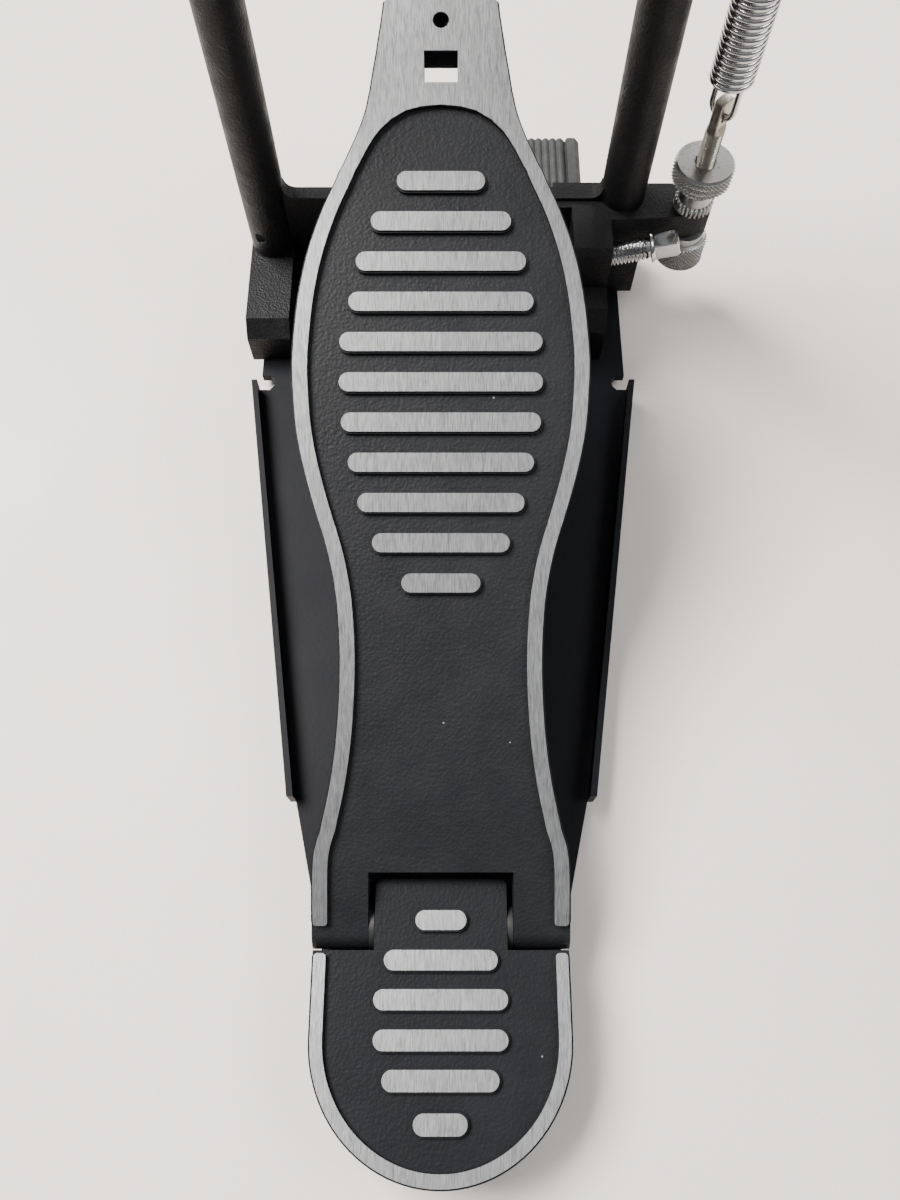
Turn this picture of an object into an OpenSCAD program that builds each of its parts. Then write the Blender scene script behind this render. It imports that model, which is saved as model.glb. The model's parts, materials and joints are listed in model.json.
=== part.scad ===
// Bass drum pedal: footboard hinged to a heel plate, chain drive to a sprung
// axle that carries the beater, and a hoop clamp at the drum end.
// Origin on the floor under the axle; +Y towards the drum, +X to the player's right.

/* [Footboard] */
// Angle of the footboard above the floor at rest
board_angle = 21.8; // [18:0.2:25]
// Distance from the heel hinge back to the chain bolt, along the floor
hinge_back = 236; // [225:1:245]
// Widest part of the footboard
board_w = 82.2; // [76:0.2:88]
// Thickness of the board's top skin below the raised pattern
board_skin = 3.2; // [2.5:0.1:4]
// Depth of the rim that stiffens the board underneath
rim_depth = 9; // [7:0.5:11]
// Width of the bare metal border
border_w = 4; // [3:0.5:6]
// Height of the border and the grip bars above the painted floor
raise = 1.6; // [1:0.1:2]
// Distance between the grip bars
bar_pitch = 11; // [10:0.5:11.5]
// Width of a grip bar's bare top
bar_w = 5.2; // [4:0.1:6]

/* [Heel plate] */
// Width of the heel plate
heel_w = 70; // [66:1:76]
// Height of the heel plate's top above the floor
heel_top = 22; // [21:0.5:24]
// Width of the tongue between the footboard's two ears
tongue_w = 36.5; // [32:0.5:38]
// Diameter of the hinge pin
hinge_pin_d = 6; // [5:0.5:7]

/* [Base] */
// Thickness of the steel base plate
plate_t = 3; // [2.5:0.5:4]
// Thickness of the rubber pads under the base plate
pad_t = 2.5; // [2:0.5:4]
// Height of the turned-up side flanges above the floor
flange_top = 12; // [9:0.5:14]

/* [Frame] */
// Distance between the centres of the two posts
post_span = 123; // [118:1:130]
// Diameter of a post
post_d = 15; // [12:0.5:17]
// Height of the axle above the floor
axle_h = 185; // [180:1:195]
// Top of the cross beam
beam_top = 46; // [44:1:50]

/* [Axle and drive] */
// Across-flats size of the hexagonal axle
hex_af = 8; // [7:0.5:9]
// Diameter of the axle's round ends
journal_d = 8; // [7:0.5:8]
// Outer diameter of the axle bearings
bearing_d = 19; // [18:0.5:21]
// Width of the axle bearings
bearing_w = 6; // [5:0.5:7]
// Number of teeth on the full sprocket circle
teeth = 13; // [12:1:14]
// Diameter of the beater rod
rod_d = 9.5; // [8:0.5:10]
// Length of the beater rod above the axle
rod_l = 172; // [150:1:190]
// Angle of the beater behind the upright at rest
beater_angle = 45; // [35:1:50]

/* [Spring] */
// Outer diameter of the return spring
spring_d = 13.5; // [11:0.5:15]
// Diameter of the spring wire
spring_wire = 1.9; // [1.5:0.1:2.2]
// Diameter of the threaded adjuster rod
adjuster_d = 6; // [5:0.5:6]
// Radius of the spring crank
crank_r = 20; // [16:0.5:22]

/* [Hoop clamp] */
// Gap between the rubber jaws with the clamp open
hoop_gap = 13; // [11:0.5:14]
// Depth of the rubber jaws, front to back
jaw_depth = 30; // [24:1:34]
// Thread diameter of the clamp bolt
clamp_bolt_d = 8; // [7:0.5:8]

/* [Hidden] */
$fn = 64;
fit = 0.05;          // radial clearance of a running fit
seat = 0.1;          // gap between faces that rest on each other but move
eps = 0.01;

plate_z = pad_t;
floor_z = pad_t + plate_t;       // top of the base plate
hinge_y = -hinge_back;
top_over_hinge = 7.5;            // board surface above the hinge axis
hinge_z = heel_top - top_over_hinge;
skin_top = top_over_hinge - raise;
skin_bottom = skin_top - board_skin;
rim_bottom = skin_top - rim_depth;

// Chain
pitch = 12.7;
roller_d = 7.75;
chain_pin_d = 3.6;
link_t = 1;
link_h = 8.6;
inner_w = 3.3;
inner_plate_x = inner_w / 2;
outer_plate_x = inner_plate_x + link_t + 0.15;
pitch_r = pitch / 2 / sin(180 / teeth);
tooth_step = 360 / teeth;
tip_dy = pitch_r + hinge_back;
tip_rise = 1.994;                // chain bolt above the board's middle line
tip_z = hinge_z + tip_dy * tan(board_angle) + tip_rise;
run_links = 2 * max(1, floor((axle_h - tip_z - 10) / pitch / 2));
end_l = axle_h - pitch * run_links - tip_z;  // last joint to the eye on the footboard
tip_dz = tip_z - hinge_z;
tip_d = tip_dy * cos(board_angle) + tip_dz * sin(board_angle);
tip_n = tip_dz * cos(board_angle) - tip_dy * sin(board_angle);
chain_bolt_d = 4;
eye_clear = 1.65;
eye_r = chain_bolt_d / 2 + eye_clear;

// Footboard outline: distance from the hinge, half width as a share of the widest half
outline = [[0, .866], [8, .867], [18, .866], [23.5, .853], [28.9, .813], [39.9, .757], [50.8, .717],
  [61.7, .694], [72.7, .684], [83.6, .69], [94.5, .714], [105.5, .767], [116.4, .847], [127.3, .92],
  [138.3, .973], [149.2, .995], [157, 1], [165.6, .986], [176.5, .953], [187.5, .893], [198.4, .8],
  [209.3, .681], [214.8, .614], [220.3, .554], [225.7, .508], [231.2, .478], [242.1, .434], [256, .387]];
// Front end of the painted floor, in the same terms
recess_end = [[214.8, .499], [218, .4525], [220.3, .411], [223.3, .333], [225.7, .234],
  [226.8, .134], [227.3, 0]];
recess_top = recess_end[len(recess_end) - 1][0];
edge_step = 0.5;                 // painted ledge round the bare metal
edge_drop = 0.6;                 // and its depth
strip_start = 2.7;               // rear end of the bare border
slot_half = 20;                  // half width of the slot that takes the tongue
slot_end = 16.9;
first_bar = 96.45;
bar_lengths = [21.6, 37.7, 45.7, 50.9, 54.7, 55.8, 55.5, 50.6, 46.5, 38.3, 24.1];
square_hole = [9.3, 8.7];
square_hole_d = 237.7;
stop_hole_d = 250.4;
stop_hole_r = 2.25;
neck_bottom = skin_top - 7.4;
fork_gap = 11;
fork_w = 22;
ear_r = skin_top;

// Heel plate
heel_front = -6.4;
heel_arc = -28.3;
tongue_front = 12.8;
heel_bars = [[1.3, 14], [-9, 30.8], [-18.9, 36], [-28.8, 35.7], [-38.4, 30.6], [-48.5, 14]];
heel_wall = 3.8;

// Base plate, distances along Y
flange_front = -52;
notch_front = -46;
flange_rear = -199;
flange_front_x = 67.8;
flange_rear_x = 46.3;
flange_t = 2;
plate_front = 40;
plate_front_x = 70;
waist_x = 65.5;
heel_under_x = heel_w / 2 - 0.6;

// Frame
post_x = post_span / 2;
post_r = post_d / 2;
foot_low = 17.6;
foot_top = 22.7;
foot_rear = -39;
foot_front = 14;
left_foot_x = [-post_x - 7.7, -54];
block_x = [44, 57];
block_rear = -25;
block_top = 45;
step_top = 28;
arm_z = [35, 45];
arm_end = 91.5;
arm_rear = -10.8;
beam_t = 5;
fillet_r = 4;
window_x = [-38, block_x[0]];
window_top = 35;
housing_r = bearing_d / 2 + 4;
housing_w = 10;

// Spring
spring_x = 85;
spring_y = -4.5;
hook_r = 4;
hook_turn = -45;                 // the lower hook's ring faces the front left
rod_hole_z = 86;
rod_top = 89;
rod_bottom = 19;
coil_bottom = 93;
crank_pin_z = axle_h - crank_r;
coil_top = crank_pin_z - 12.5;
crank_x = [71.5, 80];

// Clamp
pivot_y = -32;
pivot_z = 14;
pivot_r = 3;
jaw_rear = 9;
jaw_front = jaw_rear + jaw_depth;
lower_jaw_t = 2.5;
boot_bottom = floor_z + lower_jaw_t + hoop_gap;
boot_t = 12;
boot_x = [-33, 50];
jaw_plate_t = 4;
lever_x = [-29, 40];
key_angle = 15;
key_y = -16.3;
key_z = 36.3;
key_r = clamp_bolt_d / 2;
key_in = 23.8;                   // bolt length inside the block's outer face
key_out = 14;                    // thread left showing
push_x = [24, 34.5];
push_top = 28.35;

// ---------- shared shapes ----------
module round_slot(l, w) {
  square([l - w, w], center = true);
  for (s = [-1, 1]) translate([s * (l - w) / 2, 0]) circle(d = w, $fn = 32);
}
module along_x(x0, x1, r, y = 0, z = 0) translate([x0, y, z]) rotate([0, 90, 0])
  cylinder(r = r, h = x1 - x0);
module ring_x(x0, x1, r_out, r_in, y = 0, z = 0) difference() {
  along_x(x0, x1, r_out, y, z);
  along_x(x0 - 1, x1 + 1, r_in, y, z);
}
module profile_x(x0, x1, pts) translate([x0, 0, 0]) rotate([90, 0, 90])
  linear_extrude(x1 - x0) polygon(pts);
module box(a, b) translate(a) cube(b - a);
module both_sides() { children(); mirror([1, 0, 0]) children(); }
module on_board() translate([0, hinge_y, hinge_z]) rotate([board_angle, 0, 0]) children();
module hex_bar(x0, x1, af) translate([x0, 0, axle_h]) rotate([0, 90, 0])
  rotate([0, 0, 30]) cylinder(r = af / 2 / cos(30), h = x1 - x0, $fn = 6);

// Smooth curve through the outline's points (Catmull-Rom)
function blend(a, b, c, d, t) = 0.5 * (2 * b + (c - a) * t + (2 * a - 5 * b + 4 * c - d) * t * t
  + (3 * b - a - 3 * c + d) * t * t * t);
last_pt = len(outline) - 1;
function pt(i) = outline[max(0, min(last_pt, i))];
function half_at(i, t) = board_w / 2 * blend(pt(i - 1)[1], pt(i)[1], pt(i + 1)[1], pt(i + 2)[1], t);
function dist_at(i, t) = pt(i)[0] + (pt(i + 1)[0] - pt(i)[0]) * t;
steps = 5;
side = [for (i = [0 : last_pt - 1], k = [0 : steps - 1]) [half_at(i, k / steps), dist_at(i, k / steps)],
  [board_w / 2 * outline[last_pt][1], outline[last_pt][0]]];
function inset(pts, w) = [for (p = pts) [p[0] - w, p[1]]];
inner_side = inset([for (p = side) if (p[1] < recess_end[0][0] - 4) p], edge_step + border_w);
recess_arc = [for (p = recess_end) [board_w / 2 * p[1], p[0]]];
function flip(pts) = [for (i = [len(pts) - 1 : -1 : 0]) [-pts[i][0], pts[i][1]]];
board_outline = concat(side, flip(side));
bare_side = inset(side, edge_step);
bare_outline = concat(bare_side, flip(bare_side));
recess_outline = concat(inner_side, recess_arc, flip(recess_arc), flip(inner_side));

// ---------- base ----------
module plate_side() {
  polygon([[0, plate_front], [plate_front_x - 5, plate_front], [plate_front_x, plate_front - 5],
    [plate_front_x, 10], [waist_x, 2], [waist_x, notch_front],
    [flange_front_x - 5.5, notch_front], [flange_front_x - 5.5, flange_front],
    [flange_front_x - flange_t, flange_front], [flange_rear_x - flange_t, flange_rear],
    [heel_under_x, hinge_y - 6], [0, hinge_y - 6]]);
}
module base_plate() color([0.06, 0.06, 0.07]) difference() {
  union() {
    translate([0, 0, plate_z]) linear_extrude(plate_t) {
      both_sides() plate_side();
      translate([-heel_under_x, hinge_y + heel_arc]) square([2 * heel_under_x, -heel_arc]);
      translate([0, hinge_y + heel_arc]) circle(r = heel_under_x);
    }
    both_sides() translate([0, 0, plate_z]) linear_extrude(flange_top - plate_z)
      polygon([[flange_front_x, flange_front], [flange_rear_x, flange_rear],
        [flange_rear_x - flange_t, flange_rear], [flange_front_x - flange_t, flange_front]]);
  }
  both_sides() translate([flange_front_x - 4, (flange_front + notch_front) / 2, 0]) cylinder(r = 3, h = 20);
  frame_holes(2.2, 0, plate_z + plate_t + 1);
  frame_holes(4.3, 0, plate_z + 1.6);
  heel_holes(2.2, 0, plate_z + plate_t + 1);
  heel_holes(4.3, 0, plate_z + 1.6);
}
frame_hole_at = [[-post_x, -30], [-post_x, 8], [51, -18], [post_x, 6]];
heel_hole_at = [[-18, hinge_y - 20], [18, hinge_y - 20], [0, hinge_y - 50]];
module holes(at, r, z0, z1) for (p = at) translate([p[0], p[1], 0]) cylinder_between(r, z0, z1);
module frame_holes(r, z0, z1) holes(frame_hole_at, r, z0, z1);
module heel_holes(r, z0, z1) holes(heel_hole_at, r, z0, z1);
module base_screw(x, y, z_end) translate([x, y, 0]) {
  translate([0, 0, plate_z]) cylinder(r = 4.2, h = 1.6, $fn = 32);
  cylinder_between(2.1, plate_z + 1.6 - eps, z_end);
}
module cylinder_between(r, z0, z1) translate([0, 0, z0]) cylinder(r = r, h = z1 - z0, $fn = 32);
module frame_screws() color([0.5, 0.5, 0.52]) for (p = frame_hole_at) base_screw(p[0], p[1], floor_z + 9);
module heel_screws() color([0.5, 0.5, 0.52]) for (p = heel_hole_at) base_screw(p[0], p[1], floor_z + 8);

module floor_pads() color([0.08, 0.08, 0.08]) {
  difference() {
    box([-62, -22, 0], [62, 12, pad_t]);
    frame_holes(5, -1, pad_t + 1);
  }
  box([-60, 19, 0], [60, plate_front - 3, pad_t]);
  box([-48, -110, 0], [48, -92, pad_t]);
  box([-30, hinge_y - 16, 0], [30, hinge_y + 2, pad_t]);
  box([-22, hinge_y - 42, 0], [22, hinge_y - 27, pad_t]);
}

// ---------- heel ----------
module heel_outline(inset) {
  w = heel_w / 2 - inset;
  intersection() {
    translate([0, heel_arc]) circle(r = w, $fn = 96);
    translate([-w, heel_arc - w]) square([2 * w, w + eps]);
  }
  translate([-w, heel_arc]) square([2 * w, heel_front - inset - heel_arc]);
}
module heel_plate() color([0.13, 0.13, 0.14]) translate([0, hinge_y, 0]) difference() {
  union() {
    translate([0, 0, floor_z]) linear_extrude(heel_top - raise - floor_z) heel_outline(0);
    raised(heel_top) {
      heel_border(0);
      heel_border(edge_step);
    }
    tongue();
    for (b = heel_bars) translate([0, b[0], 0]) grip_bar(heel_top, b[1]);
  }
  translate([0, 0, floor_z - 1]) linear_extrude(heel_top - raise - 4 - floor_z + 1) difference() {
    heel_outline(4.5);
    translate([-heel_w, -9]) square([2 * heel_w, 20]);
    for (p = heel_hole_at) translate([p[0], p[1] - hinge_y]) circle(r = 5.5);
  }
  for (p = heel_hole_at) translate([p[0], p[1] - hinge_y, 0]) cylinder_between(2.15, floor_z - 1, floor_z + 8.1);
  along_x(-heel_w, heel_w, hinge_pin_d / 2 + fit, 0, hinge_z);
}
// Bare border, which stops short of the plate's front edge
module heel_border(ledge) difference() {
  offset(r = 1, $fn = 16) offset(delta = -1) difference() {
    intersection() {
      heel_outline(ledge);
      translate([-heel_w, -2 * heel_w]) square([2 * heel_w, 2 * heel_w + heel_front - 0.8]);
    }
    heel_outline(heel_wall);
    translate([-heel_w / 2 + heel_wall, heel_arc]) square([heel_w - 2 * heel_wall, 60]);
  }
}
// A painted base and, a ledge in from it, the bare top: children 0 and 1
module raised(top) {
  translate([0, 0, top - raise - eps]) linear_extrude(raise - edge_drop + eps) children(0);
  translate([0, 0, top - edge_drop - eps]) linear_extrude(edge_drop + eps) children(1);
}
module grip_bar(top, l) raised(top) {
  round_slot(l + 2 * edge_step, bar_w + 2 * edge_step);
  round_slot(l, bar_w);
}
// Tongue with a rounded nose; its lug carries the hinge pin
module tongue() intersection() {
  nose_r = 2.2;
  lug_r = 8;
  tongue_top = heel_top - raise;
  profile_x(-tongue_w / 2, tongue_w / 2, concat(
    [[heel_front - 4, tongue_top], [heel_front - 4, floor_z], [heel_front, floor_z], [0, hinge_z - 7]],
    [for (a = [-60 : 15 : 0]) [tongue_front - lug_r + lug_r * cos(a), hinge_z + 1 + lug_r * sin(a)]],
    [for (a = [0 : 15 : 90])
      [tongue_front - nose_r + nose_r * cos(a), tongue_top - nose_r + nose_r * sin(a)]]));
  linear_extrude(heel_top) offset(r = 2.5, $fn = 32) translate([-tongue_w / 2 + 2.5, -20])
    square([tongue_w - 5, tongue_front + 17.5]);
}
module hinge_pin() color([0.6, 0.6, 0.62])
  along_x(-heel_w / 2 + 0.6, heel_w / 2 - 0.6, hinge_pin_d / 2, hinge_y, hinge_z);
module hinge_washers() color([0.12, 0.12, 0.12]) both_sides()
  ring_x(tongue_w / 2 + seat, slot_half - seat, 6, hinge_pin_d / 2 + fit, hinge_y, hinge_z);

// ---------- footboard ----------
module border_2d(pts) offset(r = 1, $fn = 16) offset(delta = -1) intersection() {
  difference() {
    polygon(pts);
    polygon(recess_outline);
  }
  translate([-60, strip_start]) square([120, 300]);
}
module board_slab(z0, z1) translate([0, 0, z0]) linear_extrude(z1 - z0) polygon(board_outline);
module board_ribs() {
  rib_t = 2.5;
  rib_low = rim_bottom + 3;
  rib_h = skin_bottom - rib_low + eps;
  for (d = [40, 70, 100, 130, 160, 190]) translate([-board_w / 2, d, rib_low]) cube([board_w, rib_t, rib_h]);
  for (s = [-1, 1]) translate([s * 12 - rib_t / 2, 18, rib_low]) cube([rib_t, 205, rib_h]);
}
module footboard() color([0.15, 0.15, 0.16]) on_board() difference() {
  union() {
    difference() {
      board_slab(rim_bottom, skin_top);
      translate([0, 0, rim_bottom - 1]) linear_extrude(skin_bottom - rim_bottom + 1) intersection() {
        polygon(recess_outline);
        translate([-60, slot_end + 5]) square([120, 300]);
      }
      translate([-60, recess_top + 1, rim_bottom - 5]) cube([120, 60, 5 + neck_bottom - rim_bottom]);
    }
    intersection() {
      board_ribs();
      board_slab(rim_bottom, skin_top);
    }
    raised(top_over_hinge) {
      border_2d(board_outline);
      border_2d(bare_outline);
    }
    for (i = [0 : len(bar_lengths) - 1]) translate([0, first_bar + i * bar_pitch])
      grip_bar(top_over_hinge, bar_lengths[i]);
    fork();
    both_sides() ring_x(slot_half, board_w / 2 * outline[0][1], ear_r, hinge_pin_d / 2);
    both_sides() box([slot_half, 0, rim_bottom], [board_w / 2 * outline[0][1], 12, skin_top]);
  }
  box([-slot_half, -20, rim_bottom - 5], [slot_half, slot_end, 20]);
  both_sides() box([slot_half - 1, -12, -12], [60, 12, -ear_r]);
  along_x(-60, 60, hinge_pin_d / 2 + fit);
  translate([0, square_hole_d, 0]) cube([square_hole[0], square_hole[1], 40], center = true);
  translate([0, stop_hole_d, -20]) cylinder(r = stop_hole_r, h = 40);
}
// Two tines that hold the chain bolt
module fork() difference() {
  union() {
    translate([0, 0, neck_bottom]) linear_extrude(top_over_hinge - neck_bottom)
      translate([-fork_w / 2, 254]) square([fork_w, tip_d - 254]);
    translate([-fork_w / 2, 254, neck_bottom]) cube([fork_w, 3, 2]);
    along_x(-fork_w / 2, fork_w / 2, 5.5, tip_d, tip_n);
  }
  box([-fork_gap / 2, 262, -20], [fork_gap / 2, tip_d + 20, 20]);
  along_x(-30, 30, chain_bolt_d / 2 + fit, tip_d, tip_n);
}
module chain_bolt() color([0.7, 0.7, 0.72]) on_board() {
  along_x(-fork_w / 2 - 4, fork_w / 2 + 4.5, chain_bolt_d / 2, tip_d, tip_n);
  along_x(-fork_w / 2 - 4, -fork_w / 2 - seat, 3.5, tip_d, tip_n);
}
module chain_nut() color([0.7, 0.7, 0.72]) on_board() difference() {
  translate([fork_w / 2 + seat, tip_d, tip_n]) rotate([0, 90, 0]) cylinder(r = 4.04, h = 3.2, $fn = 6);
  along_x(0, 30, chain_bolt_d / 2 + fit, tip_d, tip_n);
}
module chain_spacers() color([0.12, 0.12, 0.12]) on_board() both_sides()
  ring_x(outer_plate_x + link_t + 0.35, fork_gap / 2 - seat, 4.5, chain_bolt_d / 2 + fit, tip_d, tip_n);

// ---------- frame ----------
module frame() color([0.05, 0.05, 0.055]) difference() {
  union() {
    profile_x(left_foot_x[0], left_foot_x[1], [[foot_rear, floor_z], [foot_rear, foot_low],
      [foot_rear + 5, foot_top], [foot_front, foot_top], [foot_front, floor_z]]);
    profile_x(block_x[0], block_x[1], [[foot_rear, floor_z], [foot_rear, 21], [-34, step_top],
      [block_rear, step_top], [block_rear, block_top - 2], [block_rear + 2, block_top],
      [2, block_top], [2, floor_z]]);
    box([block_x[1] - eps, -8, floor_z], [post_x + 9, foot_front, foot_top]);
    box([post_x - 6, -7, floor_z], [post_x + 7, 7, arm_z[1]]);
    translate([0, 0, arm_z[0]]) linear_extrude(arm_z[1] - arm_z[0])
      polygon([[block_x[1] - 1, arm_rear], [post_x, arm_rear], [arm_end - 6, arm_rear + 1.6],
        [arm_end, arm_rear + 5], [arm_end, 1], [arm_end - 4, 5.2], [block_x[1] - 1, 5.2]]);
    box([-post_x, -beam_t / 2, 16], [window_x[0], beam_t / 2, beam_top]);
    box([-post_x, -beam_t / 2, window_top], [post_x, beam_t / 2, beam_top]);
    box([38, -5.5, window_top], [block_x[1], 5.5, beam_top - 1]);
    box([left_foot_x[1] - eps, -9, floor_z], [-49, beam_t / 2, 16]);
    beam_fillets();
    for (s = [-1, 1]) translate([s * post_x, 0, 0])
      cylinder_between(post_r, floor_z, axle_h - housing_r + 4);
    for (s = [-1, 1]) along_x(s * post_x - housing_w / 2, s * post_x + housing_w / 2, housing_r, 0, axle_h);
  }
  for (s = [-1, 1]) {
    along_x(s * post_x - housing_w / 2 - 1, s * post_x + housing_w / 2 + 1, bearing_d / 2 - 1.2, 0, axle_h);
    along_x(s > 0 ? post_x - 3 : -post_x - 20, s > 0 ? post_x + 20 : -post_x + 3, bearing_d / 2, 0, axle_h);
  }
  frame_holes(2.15, floor_z - 1, floor_z + 9.1);
  along_x(-58, 50, pivot_r + fit, pivot_y, pivot_z);
  translate([spring_x, spring_y, 0]) cylinder(r = adjuster_d / 2 + fit, h = 60);
  key_axis() cylinder(r = key_r + fit, h = 80, center = true);
  translate([-post_x - 3, -post_r + 1.5, 31.5]) rotate([90, 0, 0]) cylinder(r = 2.1, h = 5, $fn = 32);
}
// Fillets between the posts and the cross beam
module beam_fillets() rotate([90, 0, 0]) translate([0, 0, -beam_t / 2]) linear_extrude(beam_t) both_sides()
difference() {
  translate([post_x - post_r - fillet_r, beam_top - 1]) square([post_r + fillet_r, 1 + fillet_r]);
  translate([post_x - post_r - fillet_r, beam_top + fillet_r]) circle(r = fillet_r, $fn = 48);
}
module key_axis() translate([block_x[1], key_y, key_z]) rotate([0, 90 - key_angle, 0]) children();

// ---------- bearings and axle ----------
ball_r = 1.4;
ball_ring = 6.95;
module each_bearing() for (s = [-1, 1]) translate([s * post_x, 0, axle_h])
  mirror([s < 0 ? 1 : 0, 0, 0]) children();
race_x = [-bearing_w / 2, bearing_w / 2];
track_r = ball_r + 0.05;         // half the space between the races
module bearing_outer_races() color([0.6, 0.6, 0.62]) each_bearing()
  ring_x(race_x[0], race_x[1], bearing_d / 2 - 0.02, ball_ring + track_r);
module bearing_inner_races() color([0.65, 0.65, 0.67]) each_bearing()
  ring_x(race_x[0], race_x[1], ball_ring - track_r, journal_d / 2 + 0.02);
module bearing_balls() color([0.8, 0.8, 0.82]) each_bearing() for (i = [0 : 7]) rotate([i * 45, 0, 0])
  translate([0, ball_ring, 0]) sphere(r = ball_r, $fn = 32);
module bearing_cages() color([0.75, 0.6, 0.3]) each_bearing() difference() {
  ring_x(-0.4, 1.9, ball_ring + 0.5, ball_ring - 0.5);
  for (i = [0 : 7]) rotate([i * 45, 0, 0]) translate([0, ball_ring - 3, 0]) rotate([-90, 0, 0])
    cylinder(r = ball_r + 0.08, h = 6, $fn = 32);
}
module bearing_shields() color([0.55, 0.55, 0.57]) each_bearing() for (x = [race_x[0] + 0.15, race_x[1] - 0.45])
  ring_x(x, x + 0.3, ball_ring + 1.43, ball_ring - 1.3);

axle_left = -post_x - 16;
axle_right = spring_x - 3.6;
module axle() color([0.62, 0.62, 0.64]) {
  hex_bar(-post_x + 6.5, post_x - 6.5, hex_af);
  along_x(axle_left, axle_right, journal_d / 2, 0, axle_h);
}
module axle_collar() color([0.3, 0.3, 0.32]) difference() {
  along_x(-post_x - 13, -post_x - housing_w / 2 - 0.4, 8, 0, axle_h);
  along_x(-post_x - 20, -post_x, journal_d / 2 + 0.02, 0, axle_h);
  translate([-post_x - 9, 0, axle_h]) cylinder(r = 2.05, h = 20, $fn = 32);
}
module collar_screw() color([0.2, 0.2, 0.2]) translate([-post_x - 9, 0, axle_h + journal_d / 2 + 0.1]) grub(2, 4);
module grub(r, h) difference() {
  cylinder(r = r, h = h, $fn = 32);
  translate([0, 0, h - 2]) cylinder(r = r * 0.5, h = 3, $fn = 6);
}

// ---------- sprocket and beater ----------
sector = [-22, 99];
tooth_top = pitch_r + 0.9;
hub_out = 13;
roller_seat = 0.9;               // play of a roller between the teeth
module around_axle(a) translate([0, 0, axle_h]) rotate([a, 0, 0]) children();
module sprocket_2d() {
  difference() {
    circle(r = tooth_top, $fn = 120);
    for (i = [0 : teeth - 1]) rotate(i * tooth_step) {
      translate([pitch_r, 0]) circle(r = roller_d / 2 + roller_seat, $fn = 32);
      polygon([[pitch_r, -4.2], [pitch_r + 6, -5.6], [pitch_r + 6, 5.6], [pitch_r, 4.2]]);
    }
    polygon(concat([[0, 0]],
      [for (a = [sector[1] : 14 : 360 + sector[0]]) 60 * [cos(a), sin(a)]],
      [60 * [cos(sector[0]), sin(sector[0])]]));
  }
  circle(r = hub_out);
}
module sprocket() color([0.7, 0.7, 0.71]) difference() {
  union() {
    translate([-1.45, 0, axle_h]) rotate([90, 0, 90]) linear_extrude(2.9) sprocket_2d();
    along_x(-5.3, 5.3, 11, 0, axle_h);
  }
  hex_bar(-20, 20, hex_af + 2 * 0.04);
  around_axle(180) translate([3.4, 0, 0]) cylinder(r = 1.55, h = 20, $fn = 32);
  for (a = [10, 45, 80]) around_axle(a) translate([-5, 18.2, 0]) rotate([0, 90, 0])
    cylinder(r = 2.6, h = 10, $fn = 32);
}
module sprocket_screw() color([0.2, 0.2, 0.2]) around_axle(180)
  translate([3.4, 0, hex_af / 2 + 0.15]) grub(1.5, 5);

hub_x = [5.6, 14];
rod_block = [13, 36];            // radii of the block that grips the rod
block_half = 8;
module beater_hub() color([0.12, 0.12, 0.13]) difference() {
  union() {
    around_axle(beater_angle) {
      for (x = [-hub_x[1], hub_x[0]]) translate([x, 0, 0]) rotate([90, 0, 90])
        linear_extrude(hub_x[1] - hub_x[0]) {
          circle(r = hub_out);
          translate([-block_half, 0]) square([2 * block_half, rod_block[1]]);
        }
      box([-hub_x[0] - 1, -block_half, rod_block[0] + 0.6], [hub_x[0] + 1, block_half, rod_block[1]]);
    }
  }
  hex_bar(-20, 20, hex_af + 2 * 0.04);
  around_axle(beater_angle) translate([0, 0, rod_block[0] + 2]) cylinder(r = rod_d / 2 + fit, h = 60);
  around_axle(beater_angle) along_x(0, 30, 3.05, 0, 28);
  both_sides() around_axle(200) translate([9.8, 0, 0]) cylinder(r = 2.05, h = 30, $fn = 32);
}
module hub_screws() color([0.2, 0.2, 0.2]) both_sides() around_axle(200)
  translate([9.8, 0, hex_af / 2 + 0.5]) grub(2, 7);
module beater_clamp_screw() color([0.7, 0.7, 0.72]) around_axle(beater_angle) {
  along_x(rod_d / 2 + 0.1, 20, 3, 0, 28);
  along_x(16, 17.5, 4.6, 0, 28);
  box([17.4, -3.1, 24.9], [24.5, 3.1, 31.1]);
}
module beater_rod() color([0.75, 0.75, 0.77]) around_axle(beater_angle) difference() {
  translate([0, 0, rod_block[0] + 2.2]) cylinder(r = rod_d / 2, h = rod_l - rod_block[0] - 2.2);
  translate([0, 0, rod_l - 14]) rotate([90, 0, 0]) cylinder(r = 2.1, h = 30, center = true, $fn = 32);
}
// The felt head's axis points the way it strikes
head_r = 26;
head_l = 48;
module at_head() around_axle(beater_angle) translate([0, 0, rod_l - 14]) rotate([-90, 0, 0]) children();
module beater_felt() color([0.86, 0.84, 0.78]) at_head() difference() {
  rotate_extrude($fn = 72) polygon(concat([[0, 8]],
    [for (a = [0 : 15 : 90]) [head_r - 6 + 6 * sin(a), 8 + 6 - 6 * cos(a)]],
    [for (a = [0 : 15 : 90]) [head_r - 12 + 12 * cos(a), 8 + head_l - 30 + 8 * sin(a)]],
    [[0, 8 + head_l - 21]]));
  translate([0, 0, 7]) cylinder(r = 2.15, h = 25.9, $fn = 32);
}
module beater_core() color([0.1, 0.1, 0.1]) at_head() difference() {
  translate([0, 0, -9]) cylinder(r = 10, h = 16.9);
  rotate([90, 0, 0]) cylinder(r = rod_d / 2 + fit, h = 60, center = true);
  translate([0, 0, -20]) cylinder(r = 2.15, h = 60, $fn = 32);
}
module beater_washer() color([0.7, 0.7, 0.72]) at_head() {
  translate([0, 0, -10.6]) cylinder(r = 6, h = 1.5, $fn = 48);
  translate([0, 0, -13.6]) cylinder(r = 4, h = 3.1, $fn = 6);
  translate([0, 0, -13]) cylinder(r = 2.05, h = 44, $fn = 32);
}

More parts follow.
